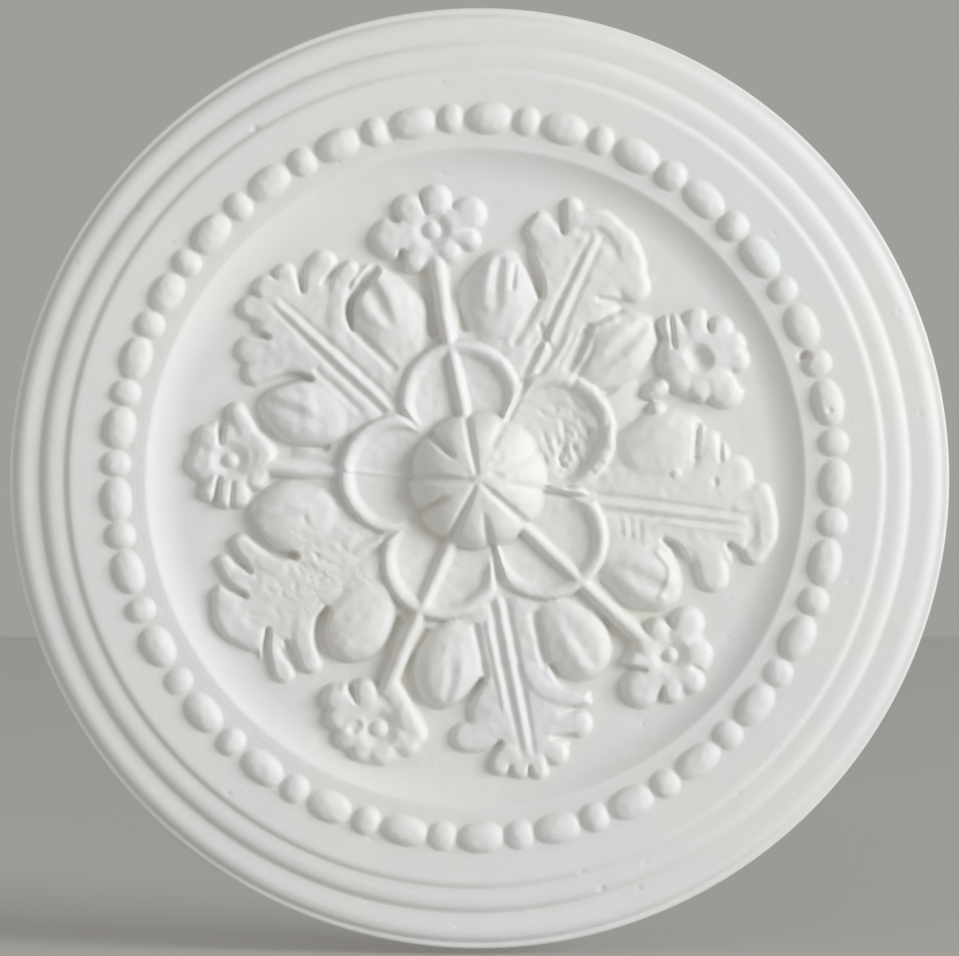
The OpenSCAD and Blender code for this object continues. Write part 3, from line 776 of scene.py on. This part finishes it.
most_triangles = 192000
net.vertex_groups.new(name="close_net").add(list(range(len(face))), 1.0, "REPLACE")
thin = net.modifiers.new("thin", "DECIMATE")
thin.vertex_group = "close_net"                   # the rings outside it stay as they are
thin.vertex_group_factor = 1000
thin.ratio = most_triangles / np.sum(lengths - 2)
thin.use_collapse_triangulate = True
settled = bpy.context.evaluated_depsgraph_get()
thinned = bpy.data.meshes.new_from_object(net.evaluated_get(settled))
bpy.data.objects.remove(net)
thinned.name = "rose_plaster"
rose = bpy.data.objects.new("rose_plaster", thinned)
bpy.context.scene.collection.objects.link(rose)

# The face takes the slopes of the full sheet, so thinning leaves no facets.
count = len(thinned.vertices)
where = np.empty(count * 3)
thinned.vertices.foreach_get("co", where)
where = where.reshape(-1, 3) * 1000
thinned.polygons.foreach_set("use_smooth", np.ones(len(thinned.polygons), bool))
slopes = np.empty(count * 3)
thinned.vertices.foreach_get("normal", slopes)
slopes = slopes.reshape(-1, 3)
slope_up, slope_across = np.gradient(sheet, step)
# the back and the rounded edge keep their own slopes
on_face = (np.hypot(where[:, 0], where[:, 2]) < face_r - 0.6) & (where[:, 1] < -1)
facing = np.column_stack([-sampled(slope_across, where[:, 0], where[:, 2]),
                          -np.ones(count),
                          -sampled(slope_up, where[:, 0], where[:, 2])])
facing /= np.linalg.norm(facing, axis=1)[:, None]
slopes = np.where(on_face[:, None], facing, slopes)
thinned.normals_split_custom_set_from_vertices(slopes)

# How sheltered each place is, from 0 in the open to 1 in the deepest folds; the colour is
# darkened by it below as painted shade and dust.
shelter = np.clip((soften(sheet, 2.2) - sheet) / 2.0, 0, 1)
held = np.where(on_face, sampled(shelter, where[:, 0], where[:, 2]), 0)
sheltered = thinned.attributes.new("shelter", "FLOAT", "POINT")
sheltered.data.foreach_set("value", held.astype(np.float32))


# Cast plaster of Paris, unpainted and dead matt. It is white with a faint warm
# and cool drift, and painted a little greyer in the folds as shade and as the dust
# that has stayed there; its skin carries fine grain and pinholes from the mould.
def add_node(material, kind, settings=None, links=None):
    """A new node with its settings; links maps its input sockets to outputs of others."""
    node = material.node_tree.nodes.new(kind)
    for name, value in (settings or {}).items():
        if name in node.inputs:
            node.inputs[name].default_value = value
        else:
            setattr(node, name, value)
    for socket, source in (links or {}).items():
        material.node_tree.links.new(source, node.inputs[socket])
    return node


plaster = bpy.data.materials.new("cast_plaster")
plaster.use_nodes = True
shader = plaster.node_tree.nodes["Principled BSDF"]
shader.inputs["Roughness"].default_value = 0.82
shader.inputs["IOR"].default_value = 1.5
shader.inputs["Specular IOR Level"].default_value = 0.25
drift_size = 0.060              # metres, the broad warm and cool patches
cloud_size = 0.009              # the small clouding of a dry casting
hole_spacing = 0.0035
# the grain and the drag lines are really a tenth of a millimetre and less, and
# are drawn coarser so that they show
grain_size = 0.0009
drag_spacing = 0.0012
bump_depth = 0.0001

spot = add_node(plaster, "ShaderNodeTexCoord").outputs["Object"]
drift = add_node(plaster, "ShaderNodeTexNoise",
                 {"Scale": 1 / drift_size, "Detail": 3.0, "Roughness": 0.5}, {"Vector": spot})
tint = add_node(plaster, "ShaderNodeValToRGB", links={"Fac": drift.outputs["Fac"]})
tint.color_ramp.elements[0].position = 0.35
tint.color_ramp.elements[0].color = linear("eceded")
tint.color_ramp.elements[1].position = 0.65
tint.color_ramp.elements[1].color = linear("efeeea")
cloud = add_node(plaster, "ShaderNodeTexNoise",
                 {"Scale": 1 / cloud_size, "Detail": 4.0, "Roughness": 0.6}, {"Vector": spot})
cloud_tone = add_node(plaster, "ShaderNodeMapRange",
                      {"From Min": 0.3, "From Max": 0.7, "To Min": 0.975, "To Max": 1.0},
                      {"Value": cloud.outputs["Fac"]})
clouded = add_node(plaster, "ShaderNodeMix",
                   {"data_type": "RGBA", "blend_type": "MULTIPLY", "Factor": 1.0},
                   {6: tint.outputs["Color"], 7: cloud_tone.outputs["Result"]})

# painted shade and dust in the folds: the colour greys where the sheet is most sheltered
folds = add_node(plaster, "ShaderNodeAttribute", {"attribute_name": "shelter"})
fold_shade_and_dust = add_node(plaster, "ShaderNodeMapRange", {"To Max": 0.55}, {"Value": folds.outputs["Fac"]})
fold_shade_and_dust_mix = add_node(plaster, "ShaderNodeMix", {"data_type": "RGBA"},
                  {"Factor": fold_shade_and_dust.outputs["Result"], 6: clouded.outputs[2]})
# the grey of the painted shade and dust in the folds
fold_shade_and_dust_mix.inputs[7].default_value = linear("c9c5bb")
plaster.node_tree.links.new(fold_shade_and_dust_mix.outputs[2], shader.inputs["Base Color"])

# the grain, and pinholes sunk into it
grain = add_node(plaster, "ShaderNodeTexNoise",
                 {"Scale": 1 / grain_size, "Detail": 3.0, "Roughness": 0.6}, {"Vector": spot})
holes = add_node(plaster, "ShaderNodeTexVoronoi", {"Scale": 1 / hole_spacing}, {"Vector": spot})
hole_edge = add_node(plaster, "ShaderNodeMapRange", {"From Min": 0.04, "From Max": 0.12},
                     {"Value": holes.outputs["Distance"]})
relief = add_node(plaster, "ShaderNodeMath", {"operation": "MULTIPLY_ADD"},
                  {0: grain.outputs["Fac"], 2: hole_edge.outputs["Result"]})
relief.inputs[1].default_value = 0.8

# the rings were run with a template, which left fine lines round the rim
flat_spot = add_node(plaster, "ShaderNodeVectorMath", {"operation": "MULTIPLY"}, {0: spot})
flat_spot.inputs[1].default_value = (1, 0, 1)
ring_spot = add_node(plaster, "ShaderNodeVectorMath", {"operation": "LENGTH"},
                     {0: flat_spot.outputs["Vector"]})
drags = add_node(plaster, "ShaderNodeTexNoise",
                 {"noise_dimensions": "1D", "Scale": 1 / drag_spacing, "Detail": 2.0},
                 {"W": ring_spot.outputs["Value"]})
# they fade in over the border, this far from the middle
on_rim = add_node(plaster, "ShaderNodeMapRange",
                  {"From Min": 0.105, "From Max": 0.108, "To Max": 0.8},
                  {"Value": ring_spot.outputs["Value"]})
dragged = add_node(plaster, "ShaderNodeMath", {"operation": "MULTIPLY_ADD"},
                   {0: drags.outputs["Fac"], 1: on_rim.outputs["Result"],
                    2: relief.outputs["Value"]})
bump = add_node(plaster, "ShaderNodeBump", {"Strength": 0.5, "Distance": bump_depth},
                {"Height": dragged.outputs["Value"]})
plaster.node_tree.links.new(bump.outputs["Normal"], shader.inputs["Normal"])
thinned.materials.clear()
thinned.materials.append(plaster)

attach(rose, "root")
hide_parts("rose_casting")
